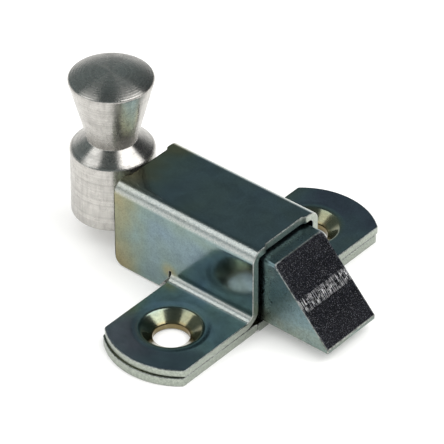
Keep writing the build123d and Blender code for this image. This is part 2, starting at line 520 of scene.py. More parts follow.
@dataclass(frozen=True)
class PassivatedZinc:
    """Zinc plated in a drum and passivated: a bright metal under a film whose tint follows its thickness.

    The film is thin and blue on open faces, and straw and brown where the bath drained or stayed longest.
    """

    name: str
    tints: tuple[str, ...] = ("#6e7688", "#7a8e97", "#7f928e", "#8b907a", "#999272", "#847553")
    shift: float = 0.0
    patch: float = 8.0
    unevenness: float = 0.7
    fleck: float = 0.3
    fleck_shade: float = 0.72
    smudge: float = 0.8
    roughness: tuple[float, float] = (0.24, 0.34)
    grain: float = 0.16  # the plating's own grain is far finer, and drawn this coarse so that it shows
    grain_depth: float = 0.0009
    peel: float = 0.24
    peel_depth: float = 0.016
    strained_roughness: float = 0.3
    # pale patches on the bends: partly scoured plating, partly a painted highlight along each bend
    scoured_and_bend_highlight: str = "#c9cbc6"

    @cache
    def make(self) -> bpy.types.Material:
        """Builds the material: the film's tint, small darker flecks, the plating's grain, and rough bends
        whose pale patches are partly scoured plating and partly a painted highlight.

        Returns:
            The new material.
        """
        coat = Coat(self.name, {"Metallic": 1.0})
        self.paint(coat)
        strain = coat.node("Attribute", attribute_name=STRAIN_MAP).outputs["Fac"]
        coat.shade_over("Roughness", grey(self.strained_roughness), strain)
        # Pale patches on the bends, partly scoured plating and partly a painted highlight along each bend.
        scour_and_bend_highlight = coat.pattern(coat.place, self.peel, [(0.3, 0.35), (0.6, 0.9)], 4.0)
        coat.shade_over("Base Color", linear(self.scoured_and_bend_highlight), coat.combined(Blend.MULTIPLY, strain, scour_and_bend_highlight))
        peel = coat.pattern(coat.place, self.peel)
        peeled = coat.node("Bump", {"Height": peel, "Distance": self.peel_depth * MM, "Strength": strain})
        grain = coat.pattern(coat.place, self.grain, detail=2.0)
        grained = {"Height": grain, "Distance": self.grain_depth * MM, "Normal": peeled}
        coat.shade("Normal", coat.node("Bump", grained))
        return coat.material

    def paint(self, coat: Coat) -> None:
        """Feeds the shader's colour and roughness.

        Args:
            coat: the material that gets them.
        """
        film = coat.node("Attribute", attribute_name=FILM_MAP).outputs["Fac"]
        cloud = coat.pattern(coat.place, self.patch, detail=2.0, warp=0.3)
        clouded = {0: cloud, 1: self.unevenness, 2: self.shift - self.unevenness / 2}
        uneven = coat.node("Math", clouded, operation="MULTIPLY_ADD")
        thickness = coat.node("Math", {0: film, 1: uneven}, operation="ADD")
        stops = [(i / (len(self.tints) - 1), tint) for i, tint in enumerate(self.tints)]
        tint = coat.node("ValToRGB", {"Fac": thickness}, stops)
        flecks = coat.pattern(coat.place, self.fleck, [(0.34, self.fleck_shade), (0.6, 1.0)])
        smudges = coat.pattern(coat.place, self.patch * 0.4, [(0.32, self.smudge), (0.62, 1.0)], 4.0, 0.8)
        coat.shade("Base Color", coat.combined(Blend.MULTIPLY, tint, flecks, smudges))
        haze = [(0.3, self.roughness[0]), (0.7, self.roughness[1])]
        coat.shade("Roughness", coat.pattern(coat.place, self.patch * 0.2, haze, 5.0))


@dataclass(frozen=True)
class RubbedZinc(PassivatedZinc):
    """The zinc on the bolt's bevel, mottled by wear and scored where it rides up the striking plate.

    Sizes of scores, gaps and specks are in millimetres, and turns are degrees from straight down the bevel.
    """

    slope: float = 46.2
    middle: tuple[float, float, float] = (15.8, 0.0, 7.925)
    band: float = 1.15
    gap: float = 0.8
    score: tuple[float, float, float] = (0.11, 1.3, 8.0)
    cross_score: tuple[float, float, float] = (0.1, 2.0, 88.0)
    fine_score: tuple[float, float, float] = (0.1, 6.0, 90.0)
    specks: tuple[tuple[float, float, float], ...] = ((0.15, 0.5, 0.3), (0.33, 0.47, 0.1))
    bare_roughness: float = 0.5

    def scores(self, coat: Coat, plane: Source, kind: tuple[float, float, float]) -> bpy.types.Node:
        """Draws a pattern out along one direction in the bevel's plane, and keeps its crests as scores.

        Args:
            coat: the material.
            plane: what gives the coordinates along and across the bevel.
            kind: width, length and turn of a score.

        Returns:
            The node whose first output is the scores, from 0 to 1.
        """
        width, length, turn = kind
        drawn_out = {"Rotation": (0.0, 0.0, math.radians(turn)), "Scale": (width / length, 1.0, 0.0)}
        turned = coat.node("Mapping", {"Vector": plane, **drawn_out})
        return coat.pattern(turned, width, [(0.59, 0.0), (0.63, 1.0)], 0.0)

    def make(self) -> bpy.types.Material:
        """Builds the material: a coarse mottled bump, and bright scores across the middle of the bevel.

        Returns:
            The new material.
        """
        coat = Coat(self.name, {"Metallic": 1.0})
        self.paint(coat)
        middle = tuple(value * MM for value in self.middle)
        centred = coat.node("VectorMath", {0: coat.place, 1: middle}, operation="SUBTRACT")
        plane = coat.node("Mapping", {"Vector": centred, "Rotation": (0.0, math.radians(-self.slope), 0.0)})
        along = coat.node("SeparateXYZ", {"Vector": plane}).outputs["X"]
        away = coat.node("Math", {0: along}, operation="ABSOLUTE")
        share = coat.node("Math", {0: away, 1: per_metre(self.band)}, operation="MULTIPLY")
        band = coat.node("ValToRGB", {"Fac": share}, [(0.45, 1.0), (1.0, 0.25), (1.0, 0.0)])
        gaps = coat.pattern(plane, self.gap, [(0.47, 0.0), (0.52, 1.0)])
        wide = coat.node("ValToRGB", {"Fac": share}, [(0.9, 0.7), (1.0, 0.0)])
        kinds = (self.score, self.cross_score, self.fine_score)
        strokes, cross, fine = (self.scores(coat, plane, kind) for kind in kinds)
        scored = coat.combined(Blend.MULTIPLY, coat.combined(Blend.LIGHTEN, strokes, cross), band, gaps)
        specks = [
            coat.pattern(coat.place, size, [(density, 0.0), (density + 0.15, shade)], 4.0)
            for size, density, shade in self.specks
        ]
        marks = coat.combined(Blend.LIGHTEN, scored, coat.combined(Blend.MULTIPLY, fine, wide), *specks)
        coat.shade_over("Base Color", WHITE, marks)
        coat.shade_over("Roughness", grey(self.bare_roughness), marks)
        grain = coat.pattern(coat.place, self.grain)
        coat.shade("Normal", coat.node("Bump", {"Height": grain, "Distance": self.grain_depth * MM}))
        return coat.material


@dataclass(frozen=True)
class ShearedEdge:
    """The cut face of plated sheet: torn grain that the plating follows, so it looks paler and duller."""

    name: str = "sheared_edge_zinc"
    tints: tuple[str, str] = ("#868d84", "#b4baaf")
    grain: float = 0.3
    grain_depth: float = 0.008

    @cache
    def make(self) -> bpy.types.Material:
        """Builds the material.

        Returns:
            The new material.
        """
        coat = Coat(self.name, {"Metallic": 1.0, "Roughness": 0.32})
        tear = coat.pattern(coat.place, self.grain, detail=4.0)
        tints = [(0.3, self.tints[0]), (0.7, self.tints[1])]
        coat.shade("Base Color", coat.node("ValToRGB", {"Fac": tear}, tints))
        coat.shade("Normal", coat.node("Bump", {"Height": tear, "Distance": self.grain_depth * MM}))
        return coat.material


@dataclass(frozen=True)
class TurnedAluminium:
    """Aluminium off the lathe: fine rings round the axis that spread each highlight along the profile.

    Handling leaves upright smears and blotches on it.
    """

    name: str = "turned_aluminium"
    colour: str = "#cac7c2"
    roughness: float = 0.25
    spread: float = 0.85
    ring: float = 0.3  # the lathe's feed is finer, and drawn this coarse so that it shows
    ring_depth: float = 0.004
    ring_shade: float = 0.8
    smear: float = 0.5
    smear_length: float = 3.5
    blotch: float = 1.6
    axis_x: float = -25.3
    turning_map: str = "turning"

    def make(self) -> bpy.types.Material:
        """Builds the material: the rings are a noise of the distance from the axis and along it alone.

        Returns:
            The new material.
        """
        coat = Coat(self.name, {"Metallic": 1.0, "Anisotropic": self.spread})
        centred = {"Location": (-self.axis_x * MM, 0.0, 0.0), "Scale": (1.0, 1.0, 0.0)}
        across = coat.node("Mapping", {"Vector": coat.place, **centred})
        distance = coat.node("VectorMath", {0: across}, operation="LENGTH").outputs["Value"]
        height = coat.node("SeparateXYZ", {"Vector": coat.place}).outputs["Z"]
        ridges = coat.pattern(coat.node("CombineXYZ", {"X": distance, "Y": height}), self.ring, detail=4.0)
        coat.shade("Normal", coat.node("Bump", {"Height": ridges, "Distance": self.ring_depth * MM}))
        lines = coat.node("ValToRGB", {"Fac": ridges}, [(0.34, self.ring_shade), (0.62, 1.0)])

        upright = {"Vector": coat.place, "Scale": (1.0, 1.0, self.smear / self.smear_length)}
        smears = coat.pattern(coat.node("Mapping", upright), self.smear, [(0.32, 0.84), (0.56, 1.0)])
        blotches = coat.pattern(coat.place, self.blotch, [(0.3, 0.86), (0.6, 1.0)], 5.0, 0.6)
        coat.shade("Base Color", coat.combined(Blend.MULTIPLY, smears, blotches, lines, linear(self.colour)))
        dulled = [(0.86, self.roughness + 0.06), (1.0, self.roughness)]
        coat.shade("Roughness", coat.node("ValToRGB", {"Fac": blotches}, dulled))
        coat.shade("Tangent", coat.node("Tangent", direction_type="UV_MAP", uv_map=self.turning_map))
        return coat.material


@dataclass(frozen=True)
class DrawnSteel:
    """Drawn or coiled bright steel, smooth along its length."""

    name: str
    colour: str
    roughness: float
    cloud: float = 1.5

    def make(self) -> bpy.types.Material:
        """Builds the material, with a faint cloud of oil on the metal.

        Returns:
            The new material.
        """
        coat = Coat(self.name, {"Metallic": 1.0, "Roughness": self.roughness})
        oil = coat.pattern(coat.place, self.cloud, [(0.3, 0.6), (0.7, 1.0)])
        coat.shade("Base Color", coat.combined(Blend.MULTIPLY, oil, linear(self.colour)))
        return coat.material


COVER_ZINC = PassivatedZinc("zinc_plated_cover", unevenness=0.55, fleck_shade=0.82, roughness=(0.12, 0.2))
PLATE_ZINC = PassivatedZinc("zinc_plated_plate", shift=0.25, patch=6.0)
BOLT_ZINC = PassivatedZinc("zinc_plated_bolt", tints=("#71898f", "#7d9293", "#8d9484", "#96906f"), patch=6.0)
# Pale, rough edges: partly plating worn by tumbling, partly a painted highlight along each edge.
WORN_ZINC_AND_EDGE_HIGHLIGHT = PassivatedZinc(
    "worn_zinc_edge_highlight", tints=("#b8bebd", "#bdbcb0"), fleck=0.35, fleck_shade=0.3, roughness=(0.3, 0.42)
)
# The bevel's tints are much darker than the other zinc: painted shade of the dark surroundings that the bevel
# faces, under the mottling and scores of wear.
RUBBED_ZINC_WITH_PAINTED_SHADE = RubbedZinc(
    "rubbed_zinc_bevel_painted_shade",
    tints=("#3d4052", "#5b5f72", "#3a4150", "#6b6f7c"),
    shift=0.5,
    patch=0.9,
    fleck=0.24,
    fleck_shade=0.2,
    roughness=(0.16, 0.26),
    grain=0.24,
    grain_depth=0.012,
)
EDGE_ZINC = ShearedEdge()
KNOB_METAL = TurnedAluminium()
STEM_STEEL = DrawnSteel("drawn_stem_steel", "#b9bab8", 0.22)
SPRING_STEEL = DrawnSteel("coiled_spring_steel", "#8d8f92", 0.28)


@dataclass
class EarPlan:
    """One screw-down ear in plan: straight sides, a curved end and two rounded corners."""

    root: float
    rear: float = -7.4
    front: float = 8.15
    reach: float = 22.35
    bulge: float = 3.0
    corner: float = 0.6
    hole: float = 16.0

    def free_edge(self) -> np.ndarray:
        """The cut outline from the root's front end, round the curved end, to the root's rear end.

        The curved end is a circle through both corners that rises by the bulge, and each corner's fillet
        touches that circle from inside at the fillet's own radius.

        Returns:
            A row of X and Y for each point.
        """
        middle = (self.front + self.rear) / 2
        half = (self.front - self.rear) / 2
        radius = (half**2 + self.bulge**2) / (2 * self.bulge)
        centre = self.reach + self.bulge - radius
        inset = half - self.corner
        rise = math.sqrt((radius - self.corner) ** 2 - inset**2)
        turn = math.degrees(math.atan2(rise, inset))
        corner_height = centre + rise
        front_side = line((self.front, self.root), (self.front, corner_height), 12)[:-1]
        front_corner = arc((middle + inset, corner_height), self.corner, 0.0, turn, 4)
        end = arc((middle, centre), radius, turn, 180.0 - turn, 36)[1:-1]
        rear_corner = arc((middle - inset, corner_height), self.corner, 180.0 - turn, 180.0, 4)
        rear_side = line((self.rear, corner_height), (self.rear, self.root), 12)
        root = np.array([[self.front, self.root]])
        return np.concatenate([root, front_side, front_corner, end, rear_corner, rear_side])


def ear(
    mesh: GridMesh,
    plan: EarPlan,
    root_x: np.ndarray,
    side: int,
    levels: tuple[float, float],
    hole_profile: np.ndarray,
) -> None:
    """Adds an ear: both flat faces, its pressed or sunk screw hole, and the cut edge round its free outline.

    The rows run from the outline in to the hole on the upper face, through the hole's profile, and out again
    on the lower face. Each column keeps one direction as seen from the middle of the hole.

    Args:
        mesh: the mesh that gets the ear.
        plan: the ear in plan.
        root_x: the X values at which the sheet beside the root has its columns.
        side: 1 for the ear towards +Y, -1 for the other one.
        levels: height of the upper and of the lower face.
        hole_profile: radius and height of the hole's rings, from the upper face to the lower one.
    """
    free = plan.free_edge()
    root = np.stack([root_x, np.full_like(root_x, plan.root)], axis=-1)
    outline = np.concatenate([free, root[1:]])
    turn = np.arctan2(outline[:, 1] - plan.hole, outline[:, 0])
    reach = np.hypot(outline[:, 0], outline[:, 1] - plan.hole)
    share = np.array([1.0, 0.62, 0.3, 0.1])[:, None]
    rim = hole_profile[[0, -1], 0]
    outward = rim[0] + share * (reach - rim[0])
    back = rim[1] + share[::-1] * (reach - rim[1])
    radius = np.concatenate([outward, hole_profile[:, :1] * np.ones_like(reach), back])
    flat = np.ones(share.size)
    height = np.concatenate([flat * levels[0], hole_profile[:, 1], flat * levels[1]])[:, None]
    grid = stack(radius * np.cos(turn), side * (plan.hole + radius * np.sin(turn)), height)
    mesh.add(grid)
    mesh.bridge(grid[0, : len(free)], grid[-1, : len(free)], Zone.CUT)


@dataclass
class Cover:
    """The cover: one sheet folded into a channel, with a pressed-down screw hole in each of its two ears."""

    gauge: float = 1.25
    wall_side: float = 7.45
    top_radius: float = 2.0
    ear_radius: float = 1.25
    ear_top: float = 2.75
    ear_rear: float = EarPlan.rear
    ear_front: float = EarPlan.front
    top_setback: float = 0.4
    setback_run: float = 0.7
    end_corner: float = 0.7
    relief: float = 0.4
    sheared_length: float = 2.0
    foot: float = 0.2
    foot_corner: float = 1.5
    cone_mouth: float = 4.7
    cone_slope: float = 40.0
    cone_lip: float = 1.0
    sag: float = 0.07
    sag_reach: float = 6.1
    bore: float = 2.75
    bore_foot: float = 0.1
    mouth_round: float = 0.35

    def __post_init__(self) -> None:
        """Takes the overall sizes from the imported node."""
        low, high = node_box("cover")
        self.rear, self.front, self.height = low[0], high[0], high[2]
        self.wall_foot = self.ear_top + self.ear_radius
        self.bend_side = self.wall_side - self.top_radius
        self.slot_rear = self.ear_rear - self.relief
        corner_end = self.rear + self.foot_corner
        curve = corner_end - self.foot_corner * np.cos(np.linspace(0.0, math.pi / 2, 9))
        straight = spans([corner_end, self.slot_rear - self.sheared_length, self.slot_rear], [12, 4])
        self.rear_x = np.concatenate([curve[:-1], straight])
        self.slot_x = np.array([self.slot_rear, self.ear_rear])

    def front_x(self, front: np.ndarray) -> np.ndarray:
        """Even columns from the ears' rear edge to each row's own front edge, a row for each edge given."""
        share = np.linspace(0.0, 1.0, 29)[None]
        return self.ear_rear + (np.asarray(front).reshape(-1, 1) - self.ear_rear) * share

    def all_x(self, short: np.ndarray) -> np.ndarray:
        """Columns over the whole length.

        Args:
            short: how far each row falls short of the overall length at either end.

        Returns:
            A row of X values for each value of short.
        """
        fixed = np.concatenate([self.rear_x, self.slot_x[1:]])
        share = (fixed[-1] - fixed) / (fixed[-1] - fixed[0])
        rear_half = fixed + np.asarray(short).reshape(-1, 1) * share
        return np.concatenate([rear_half, self.front_x(self.front - short)[:, 1:]], axis=1)

    def add_side(self, mesh: GridMesh, side: int) -> None:
        """Adds one half of the channel and its ear.

        The top and the wall are flat. The bend between them is a quarter circle, whose radius less the depth
        below the outer face is multiplied by sine and cosine of the turn.

        Args:
            mesh: the mesh that gets them.
            side: 1 for the half towards +Y, -1 for the other one.
        """
        ends = [Side.FIRST_COLUMN, Side.LAST_COLUMN]
        corner = self.bend_side - self.end_corner
        run = corner - self.setback_run
        top_y = spans([0.0, run, corner, self.bend_side], [6, 5, 2])[:, None]
        short = self.top_setback * (1 - smooth_step(top_y, run, corner))
        mesh.sheet(lambda t: stack(self.all_x(short), side * top_y, self.height - t), self.gauge, ends)

        turn = np.radians(np.linspace(0.0, 90.0, 13))[:, None]
        straight = self.all_x(np.zeros(turn.size))
        mesh.sheet(
            lambda t: stack(
                straight,
                side * (self.bend_side + (self.top_radius - t) * np.sin(turn)),
                self.height - self.top_radius + (self.top_radius - t) * np.cos(turn),
            ),
            self.gauge,
            ends,
        )

        wall_z = np.linspace(self.height - self.top_radius, self.wall_foot, 11)[:, None]
        wall_x = self.all_x(np.zeros(wall_z.size))
        mesh.sheet(lambda t: stack(wall_x, side * (self.wall_side - t), wall_z), self.gauge, ends)
        slot = [stack(self.slot_x, side * (self.wall_side - t), self.wall_foot) for t in (0.0, self.gauge)]
        mesh.bridge(slot[0], slot[1], Zone.CUT)

        share = np.linspace(0.0, 1.0, 5)[:, None]
        rear_z = self.wall_foot + (self.foot_line()[None] - self.wall_foot) * share
        mesh.sheet(
            lambda t: stack(self.rear_x[None], side * (self.wall_side - t), rear_z),
            self.gauge,
            [*ends, Side.LAST_ROW],
        )
        self.add_ear(mesh, side, ends)

    def foot_line(self) -> np.ndarray:
        """Lower edge of the rear half's wall: a rounded corner, a straight run and the slanting cut.

        The corner rises by r - sqrt(r^2 - d^2) at a distance d into it, and the cut in a straight line.

        Returns:
            Its height at each of the rear columns.
        """
        from_end = np.clip(self.rear + self.foot_corner - self.rear_x, 0.0, self.foot_corner)
        rounded = self.foot_corner - np.sqrt(self.foot_corner**2 - from_end**2)
        start = self.slot_rear - self.sheared_length
        slant = np.clip((self.rear_x - start) / self.sheared_length, 0.0, 1.0)
        return self.foot + rounded + (self.ear_top - self.foot) * slant

    def add_ear(self, mesh: GridMesh, side: int, ends: Sequence[Side]) -> None:
        """Adds the bend at a wall's foot and the ear beyond it.

        The bend's middle is outside the channel, so it is a quarter circle whose radius plus the depth is
        multiplied by cosine and sine of the turn.

        Args:
            mesh: the mesh that gets them.
            side: 1 for the ear towards +Y, -1 for the other one.
            ends: the bend's two free borders.
        """
        turn = np.radians(np.linspace(0.0, 90.0, 9))[:, None]
        front = self.front - (self.front - self.ear_front) * smooth_step(turn, 0.0, math.radians(60.0))
        bend_x = self.front_x(front)
        middle = (self.wall_side + self.ear_radius, self.ear_top + self.ear_radius)
        mesh.sheet(
            lambda t: stack(
                bend_x,
                side * (middle[0] - (self.ear_radius + t) * np.cos(turn)),
                middle[1] - (self.ear_radius + t) * np.sin(turn),
            ),
            self.gauge,
            ends,
        )
        plan = EarPlan(middle[0], self.ear_rear, self.ear_front)
        ear(mesh, plan, bend_x[-1], side, (self.ear_top, self.ear_top - self.gauge), self.hole_profile())

    def film(self, points: np.ndarray) -> np.ndarray:
        """Thickness of the film: the bath drained to the rear end, the slots' corners and the screw holes.

        It adds up smooth steps along each axis and of the distance from a hole, and a bell round the slots.

        Args:
            points: rows of coordinates, in millimetres.

        Returns:
            A value from 0 to 1 for each point.
        """
        x, y, z = points[:, 0], np.abs(points[:, 1]), points[:, 2]
        hole = np.hypot(x, y - EarPlan.hole)
        in_hole = 0.5 * (1 - smooth_step(hole, 4.2, 5.4)) + 0.4 * (1 - smooth_step(hole, 2.7, 3.3))
        wall = smooth_step(y, self.wall_side - 0.3, self.wall_side - 0.05)
        rear = 0.52 * (1 - smooth_step(x, self.rear - 1.0, self.rear + 8.0))
        low = 0.2 * wall * (1 - smooth_step(z, 0.0, 6.5)) * (1 - smooth_step(x, -9.0, -5.0))
        high = 0.12 * wall * smooth_step(z, 10.5, 12.5)
        slot = 0.6 * near(points, (self.slot_rear, None, self.wall_foot), (1.5, 0, 1.2))
        end = 0.2 * smooth_step(y, 16.0, 23.0) + 0.02 * smooth_step(z, self.height - 0.2, self.height)
        return 0.28 + 0.8 * (in_hole + rear + low + high + slot) - end * (1 - smooth_step(hole, 5.6, 5.2))

    def strain(self, points: np.ndarray) -> np.ndarray:
        """Stretch of the sheet in its bends: a smooth hump over the turn round each bend's middle.

        Args:
            points: rows of coordinates, in millimetres.

        Returns:
            A value from 0 to 1 for each point, 1 in the middle of a bend.
        """
        y, z = np.abs(points[:, 1]), points[:, 2]
        top = np.degrees(np.arctan2(y - self.bend_side, z - self.height + self.top_radius))
        foot = (self.wall_side + self.ear_radius, self.ear_top + self.ear_radius)
        low = np.degrees(np.arctan2(foot[0] - y, foot[1] - z))
        at_ear = (z < foot[1]) & (points[:, 0] > self.ear_rear - 0.05)
        turn = np.where(z > self.height - self.top_radius, top, np.where(at_ear, low, 0.0))
        return smooth_step(turn, 12.0, 28.0) * (1 - smooth_step(turn, 62.0, 84.0))

    def hole_profile(self) -> np.ndarray:
        """Rings of a pressed-down hole: drawn-in sheet, rolled lip, cone, straight mouth, and back below.

        The sheet round the lip sags by a smooth step, and the lip is an arc that touches both sheet and cone.

        Returns:
            Radius and height of each ring, from the ear's upper face to its lower one.
        """
        slope = math.radians(self.cone_slope)
        half = math.tan(slope / 2)
        drawn = self.ear_top - self.sag
        lip = (self.cone_mouth + self.cone_lip * half, drawn - self.cone_lip)
        ends = (90.0, 90.0 + self.cone_slope)
        outer_lip = arc(lip, self.cone_lip, *ends, 8)
        under = self.gauge - self.cone_lip
        inner_lip = arc((lip[0], drawn - self.cone_lip), -under, *ends[::-1], 4)
        mouth_z = drawn - (self.cone_mouth - self.bore) * math.tan(slope)
        mouth = (self.bore + self.mouth_round, mouth_z - self.mouth_round * half)
        blunt = arc(mouth, self.mouth_round, ends[1], 180.0, 5)
        sag_r = np.linspace(self.sag_reach, lip[0], 9)[:-1]
        sag_z = self.ear_top - self.sag * smooth_step(sag_r, self.sag_reach, lip[0])
        cone_foot = inner_lip[0][0] - (inner_lip[0][1] - self.bore_foot) / math.tan(slope)
        parts = [
            np.stack([sag_r, sag_z], axis=-1),
            outer_lip,
            line(tuple(outer_lip[-1]), tuple(blunt[0]), 4),
            blunt[1:],
            line(tuple(blunt[-1]), (self.bore, self.bore_foot), 3)[1:],
            line((self.bore, self.bore_foot), (cone_foot, self.bore_foot), 2),
            line((cone_foot, self.bore_foot), tuple(inner_lip[0]), 3),
            inner_lip[1:],
            np.array([(self.sag_reach, self.ear_top - self.gauge)]),
        ]
        return np.concatenate(parts)

    def build(self) -> bpy.types.Object:
        """Makes the cover, which rides with the housing.

        Returns:
            The new piece.
        """
        mesh = GridMesh()
        for side in (1, -1):
            self.add_side(mesh, side)
        piece = mesh.build("folded_cover", COVER_ZINC.make(), EDGE_ZINC.make(), WORN_ZINC_AND_EDGE_HIGHLIGHT.make())
        lay_map(piece, FILM_MAP, self.film)
        lay_map(piece, STRAIN_MAP, self.strain)
        soften_edges(piece, 0.13, Zone.WORN_AND_HIGHLIGHT)
        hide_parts("cover")
        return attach(piece, "housing")


@dataclass
class BasePlate:
    """The plate under the cover: two ears with seats, a tongue, and a tab turned up at the rear."""

    gauge: float = Cover.ear_top - Cover.gauge
    shift: float = 0.35
    ear_rear: float = EarPlan.rear
    ear_front: float = EarPlan.front
    ear_root: float = 6.6
    tongue_side: float = 6.1
    bend_radius: float = 0.8
    tab_corner: float = 0.95
    groove_side: float = Cover.wall_side - Cover.gauge
    groove_radius: float = 0.4
    groove_length: float = 1.2
    groove_steps: tuple[float, float] = (0.25, 0.05)
    setback_start: float = 0.05
    seat_radius: float = 5.268
    seat_break: float = 0.195
    guide_radius: float = 2.08
    guide_height: float = STEM_HEIGHT

    def __post_init__(self) -> None:
        """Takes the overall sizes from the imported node."""
        low, high = node_box("base_plate")
        self.rear, self.front, self.tab_top = low[0], high[0], high[2]
        self.bend = self.rear + self.gauge + self.bend_radius
        self.half_y = spans([0.0, self.groove_side - self.groove_radius, self.tongue_side], [6, 4])

    def front_x(self, front: np.ndarray) -> np.ndarray:
        """Columns from the ears' rear edge forward, close together where the grooves start.

        Args:
            front: X of the front edge in each row.

        Returns:
            A row of X values for each value of front.
        """
        start = self.front - self.groove_length
        stops = [self.ear_rear, start - self.groove_steps[0], start + self.groove_steps[1], self.front]
        share = (spans(stops, [18, 1, 3]) - self.ear_rear) / (self.front - self.ear_rear)
        return self.ear_rear + (np.asarray(front).reshape(-1, 1) - self.ear_rear) * share[None]

    def groove(self, x: np.ndarray, y: np.ndarray) -> np.ndarray:
        """Height of the underside, which is half a round groove near the front edge: sqrt(r^2 - d^2)."""
        depth = np.sqrt(np.maximum(self.groove_radius**2 - (y - self.groove_side) ** 2, 0.0))
        return np.where(x > self.front - self.groove_length, depth, 0.0)

    def add_half(self, mesh: GridMesh, side: int) -> None:
        """Adds one half of the strip between the ears, with its ear, and of the tongue with its bend.

        The bend is a quarter circle whose radius plus the depth is multiplied by sine and cosine of the turn.

        Args:
            mesh: the mesh that gets them.
            side: 1 for the half towards +Y, -1 for the other one.
        """
        level = {0.0: self.gauge, self.gauge: 0.0}
        inner_y = self.half_y
        outer_y = spans([self.tongue_side, self.groove_side, self.ear_root], [2, 5])
        both = [Side.FIRST_COLUMN, Side.LAST_COLUMN]
        for y, cut in ((inner_y[:, None], both[1:]), (outer_y[:, None], both)):
            setback = smooth_step(y, self.groove_side + self.setback_start, self.ear_root)
            x = self.front_x(self.front - (self.front - self.ear_front) * setback)
            mesh.sheet(
                lambda t: stack(x, side * y, level[t] + (self.groove(x, y) if t else 0.0)), self.gauge, cut
            )
        root_x = self.front_x(np.array([self.ear_front]))[0]
        plan = EarPlan(self.ear_root, self.ear_rear, self.ear_front, EarPlan.reach - side * self.shift)
        top = (self.seat_radius + self.seat_break, self.gauge)
        throat = (self.seat_radius - self.seat_break, self.gauge - self.seat_break)
        foot = (self.seat_radius - self.gauge, 0.0)
        seat = np.concatenate([np.array([top]), line(top, throat, 2), line(throat, foot, 3)])
        ear(mesh, plan, root_x, side, (self.gauge, 0.0), seat)

        tongue_x = np.linspace(self.bend, self.ear_rear, 9)[None]
        free = [Side.LAST_ROW]
        mesh.sheet(lambda t: stack(tongue_x, side * inner_y[:, None], level[t]), self.gauge, free)
        turn = np.radians(np.linspace(0.0, 90.0, 11))[None]
        mesh.sheet(
            lambda t: stack(
                self.bend - (self.bend_radius + t) * np.sin(turn),
                side * inner_y[:, None],
                self.gauge + self.bend_radius - (self.bend_radius + t) * np.cos(turn),
            ),
            self.gauge,
            free,
        )

    def add_tab(self, mesh: GridMesh) -> None:
        """Adds the upright tab with the stem's guide hole: rows run from its outline to the hole and back.

        Args:
            mesh: the mesh that gets the tab.
        """
        foot = self.gauge + self.bend_radius
        inset, top = self.tongue_side - self.tab_corner, self.tab_top - self.tab_corner
        right = line((self.tongue_side, foot), (self.tongue_side, top), 12)[:-1]
        turns = ((1, 0.0, 90.0), (-1, 90.0, 180.0))
        corners = [arc((sign * inset, top), self.tab_corner, start, end, 6) for sign, start, end in turns]
        across = line((inset, self.tab_top), (-inset, self.tab_top), 16)[:-1]
        left = line((-self.tongue_side, top), (-self.tongue_side, foot), 12)
        start = np.array([[self.tongue_side, foot]])
        free = np.concatenate([start, right, corners[0], across, corners[1], left])
        foot_y = np.concatenate([-self.half_y[::-1], self.half_y[1:]])
        base = np.stack([foot_y, np.full_like(foot_y, foot)], axis=-1)
        outline = np.concatenate([free, base[1:]])
        centre = np.array([0.0, self.guide_height])
        turn = np.arctan2(*(outline - centre).T[::-1])
        reach = np.hypot(*(outline - centre).T)
        share = np.array([1.0, 0.66, 0.33, 0.0])[:, None]
        radius = self.guide_radius + share * (reach - self.guide_radius)
        front_face = self.rear + self.gauge
        y, z = radius * np.cos(turn), self.guide_height + radius * np.sin(turn)
        inner, outer = stack(front_face, y, z), stack(self.rear, y, z)
        mesh.add(np.concatenate([inner, outer[::-1]]))
        mesh.bridge(inner[0, : len(free)], outer[0, : len(free)], Zone.CUT)

    def build(self) -> bpy.types.Object:
        """Makes the base plate, which rides with the housing.

        Returns:
            The new piece.
        """
        mesh = GridMesh()
        for side in (1, -1):
            self.add_half(mesh, side)
        self.add_tab(mesh)
        piece = mesh.build("seated_base_plate", PLATE_ZINC.make(), EDGE_ZINC.make(), WORN_ZINC_AND_EDGE_HIGHLIGHT.make())
        lay_map(piece, FILM_MAP, lambda points: np.full(len(points), 0.35))
        soften_edges(piece, 0.12, Zone.WORN_AND_HIGHLIGHT)
        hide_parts("base_plate")
        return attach(piece, "housing")


